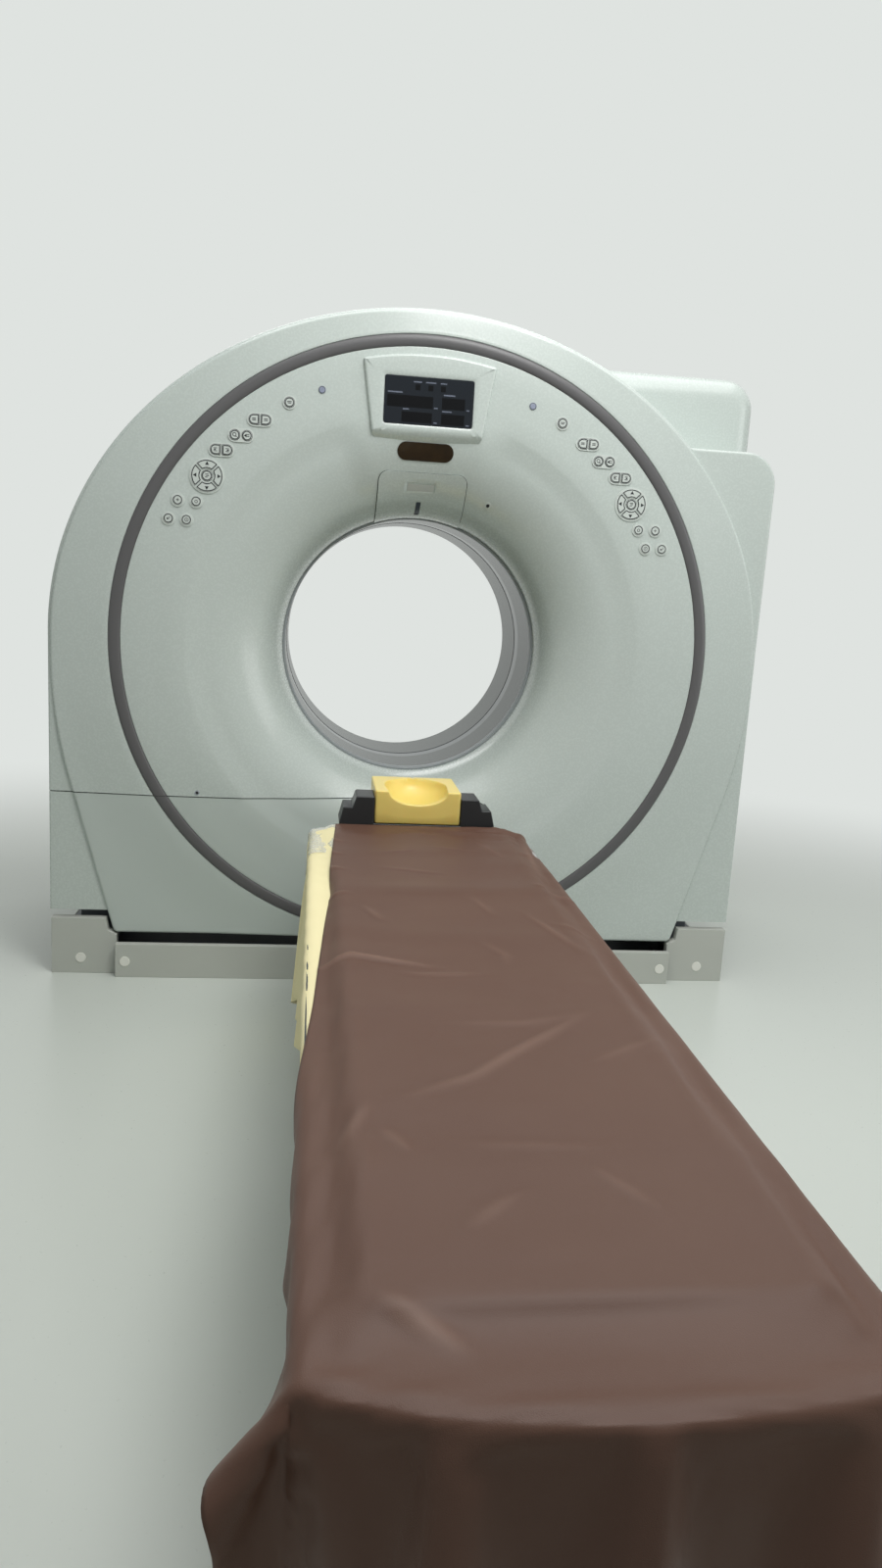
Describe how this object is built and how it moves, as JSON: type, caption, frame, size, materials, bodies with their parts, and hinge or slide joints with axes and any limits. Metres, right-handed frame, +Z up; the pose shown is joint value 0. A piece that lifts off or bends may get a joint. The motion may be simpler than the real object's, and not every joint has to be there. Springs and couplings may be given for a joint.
{
  "type": "ct scanner",
  "caption": "Computed tomography scanner: round-faced tilting gantry with a rotating source ring, and a draped patient table that rises and runs into the bore.",
  "frame": {"origin": "on the floor, straight below the middle of the bore, at the scan plane", "axes": "+Z up, +Y along the bore away from the patient table, +X to the right seen from the table"},
  "size_m": [2.036, 3.3625, 1.901],
  "materials": {
    "cover_white": "satin moulded plastic with a slight gloss",
    "trim_grey": "soft dark plastic bead",
    "skirt_grey": "powder coat, warm grey",
    "cap_pale": "moulded plug",
    "frame_steel": "painted welded steel",
    "gearbox_paint": "painted casting",
    "bearing_steel": "ground bearing steel",
    "liner_clear": "glossy tunnel sheet",
    "window_film": "thin grey film",
    "display_dark": "smoked display sheet",
    "lamp_lens": "clear lamp lens",
    "key_light": "moulded key",
    "rotor_alloy": "machined casting",
    "tube_paint": "painted housing",
    "ring_brass": "turned contact rings",
    "pedestal_paint": "powder coat, pale grey",
    "cradle_carbon": "carbon fibre and black plastic",
    "mattress_vinyl": "vinyl covered foam",
    "rest_yellow": "coated foam, yellow",
    "sheet_brown": "brown leatherette with a soft sheen",
    "sheet_cream": "cream yellow rubberised cloth",
    "film_clear": "clear plastic film"
  },
  "bodies": {
    "base": {"base_frame": "frame_steel", "trunnion_towers": "frame_steel", "tilt_gearbox": "gearbox_paint", "front_skirt": "skirt_grey", "rear_skirt": "skirt_grey", "foot_blocks": "skirt_grey", "skirt_caps": "cap_pale", "table_base": "frame_steel", "pedestal_lower": "pedestal_paint"},
    "pedestal_stage": {"pedestal_middle": "pedestal_paint"},
    "table": {"pedestal_upper": "pedestal_paint", "table_frame": "frame_steel"},
    "cradle": {"cradle": "cradle_carbon", "mattress": "mattress_vinyl", "head_holder": "cradle_carbon", "head_rest": "rest_yellow", "brown_sheet": "sheet_brown", "under_sheet": "sheet_cream", "clear_film": "film_clear"},
    "rotor": {"rotor_drum": "rotor_alloy", "xray_tube": "tube_paint", "hv_generator": "tube_paint", "detector_arc": "rotor_alloy", "collimator": "tube_paint", "slip_ring": "ring_brass"},
    "gantry": {"tilt_frame": "frame_steel", "main_bearing": "bearing_steel", "dish_panel": "cover_white", "trim_ring": "trim_grey", "front_cover": "cover_white", "lower_cover": "cover_white", "arch_shell": "cover_white", "lower_shoulder": "cover_white", "upper_shoulder": "cover_white", "rear_cover": "cover_white", "bore_liner": "liner_clear", "bore_window": "window_film", "display_bezel": "cover_white", "display_glass": "display_dark", "status_window": "display_dark", "light_panel": "cover_white", "key_rims": "key_light", "indicator_lamps": "lamp_lens"},
    "key_l_single": {"key_l_single": "key_light"},
    "key_l_upper_a": {"key_l_upper_a": "key_light"},
    "key_l_upper_b": {"key_l_upper_b": "key_light"},
    "key_l_mid_a": {"key_l_mid_a": "key_light"},
    "key_l_mid_b": {"key_l_mid_b": "key_light"},
    "key_l_low_a": {"key_l_low_a": "key_light"},
    "key_l_low_b": {"key_l_low_b": "key_light"},
    "key_l_centre": {"key_l_centre": "key_light"},
    "key_r_single": {"key_r_single": "key_light"},
    "key_r_upper_a": {"key_r_upper_a": "key_light"},
    "key_r_upper_b": {"key_r_upper_b": "key_light"},
    "key_r_mid_a": {"key_r_mid_a": "key_light"},
    "key_r_mid_b": {"key_r_mid_b": "key_light"},
    "key_r_low_a": {"key_r_low_a": "key_light"},
    "key_r_low_b": {"key_r_low_b": "key_light"},
    "key_r_centre": {"key_r_centre": "key_light"}
  },
  "joints": [
    {"name": "gantry_tilt", "type": "hinge", "parent": "base", "child": "gantry", "pos_m": [0, 0, 0.98], "axis": [1, 0, 0], "range_deg": [-10, 15]},
    {"name": "rotor_spin", "type": "hinge", "parent": "gantry", "child": "rotor", "pos_m": [0, 0, 0.98], "axis": [0, 1, 0], "continuous": true},
    {"name": "table_lift", "type": "slide", "parent": "base", "child": "table", "axis": [0, 0, 1], "range_m": [0, 0.4]},
    {"name": "stage_lift", "type": "slide", "parent": "base", "child": "pedestal_stage", "axis": [0, 0, 1], "range_m": [0, 0.2]},
    {"name": "cradle_slide", "type": "slide", "parent": "table", "child": "cradle", "axis": [0, 1, 0], "range_m": [0, 0.88], "deforming": ["brown_sheet", "under_sheet", "clear_film"]},
    {"name": "key_l_single_press", "type": "slide", "parent": "gantry", "child": "key_l_single", "axis": [0, 1, 0], "range_m": [0, 0.0015], "stiffness_N_per_m": 600},
    {"name": "key_l_upper_a_press", "type": "slide", "parent": "gantry", "child": "key_l_upper_a", "axis": [0, 1, 0], "range_m": [0, 0.0015], "stiffness_N_per_m": 600},
    {"name": "key_l_upper_b_press", "type": "slide", "parent": "gantry", "child": "key_l_upper_b", "axis": [0, 1, 0], "range_m": [0, 0.0015], "stiffness_N_per_m": 600},
    {"name": "key_l_mid_a_press", "type": "slide", "parent": "gantry", "child": "key_l_mid_a", "axis": [0, 1, 0], "range_m": [0, 0.0015], "stiffness_N_per_m": 600},
    {"name": "key_l_mid_b_press", "type": "slide", "parent": "gantry", "child": "key_l_mid_b", "axis": [0, 1, 0], "range_m": [0, 0.0015], "stiffness_N_per_m": 600},
    {"name": "key_l_low_a_press", "type": "slide", "parent": "gantry", "child": "key_l_low_a", "axis": [0, 1, 0], "range_m": [0, 0.0015], "stiffness_N_per_m": 600},
    {"name": "key_l_low_b_press", "type": "slide", "parent": "gantry", "child": "key_l_low_b", "axis": [0, 1, 0], "range_m": [0, 0.0015], "stiffness_N_per_m": 600},
    {"name": "key_l_centre_press", "type": "slide", "parent": "gantry", "child": "key_l_centre", "axis": [0, 1, 0], "range_m": [0, 0.0015], "stiffness_N_per_m": 600},
    {"name": "key_r_single_press", "type": "slide", "parent": "gantry", "child": "key_r_single", "axis": [0, 1, 0], "range_m": [0, 0.0015], "stiffness_N_per_m": 600},
    {"name": "key_r_upper_a_press", "type": "slide", "parent": "gantry", "child": "key_r_upper_a", "axis": [0, 1, 0], "range_m": [0, 0.0015], "stiffness_N_per_m": 600},
    {"name": "key_r_upper_b_press", "type": "slide", "parent": "gantry", "child": "key_r_upper_b", "axis": [0, 1, 0], "range_m": [0, 0.0015], "stiffness_N_per_m": 600},
    {"name": "key_r_mid_a_press", "type": "slide", "parent": "gantry", "child": "key_r_mid_a", "axis": [0, 1, 0], "range_m": [0, 0.0015], "stiffness_N_per_m": 600},
    {"name": "key_r_mid_b_press", "type": "slide", "parent": "gantry", "child": "key_r_mid_b", "axis": [0, 1, 0], "range_m": [0, 0.0015], "stiffness_N_per_m": 600},
    {"name": "key_r_low_a_press", "type": "slide", "parent": "gantry", "child": "key_r_low_a", "axis": [0, 1, 0], "range_m": [0, 0.0015], "stiffness_N_per_m": 600},
    {"name": "key_r_low_b_press", "type": "slide", "parent": "gantry", "child": "key_r_low_b", "axis": [0, 1, 0], "range_m": [0, 0.0015], "stiffness_N_per_m": 600},
    {"name": "key_r_centre_press", "type": "slide", "parent": "gantry", "child": "key_r_centre", "axis": [0, 1, 0], "range_m": [0, 0.0015], "stiffness_N_per_m": 600}
  ],
  "couplings": [
    {"joint": "stage_lift", "follows": "table_lift", "ratio": 0.5},
    {"joint": "cradle_slide", "follows": "table_lift", "ratio": 2.2}
  ]
}
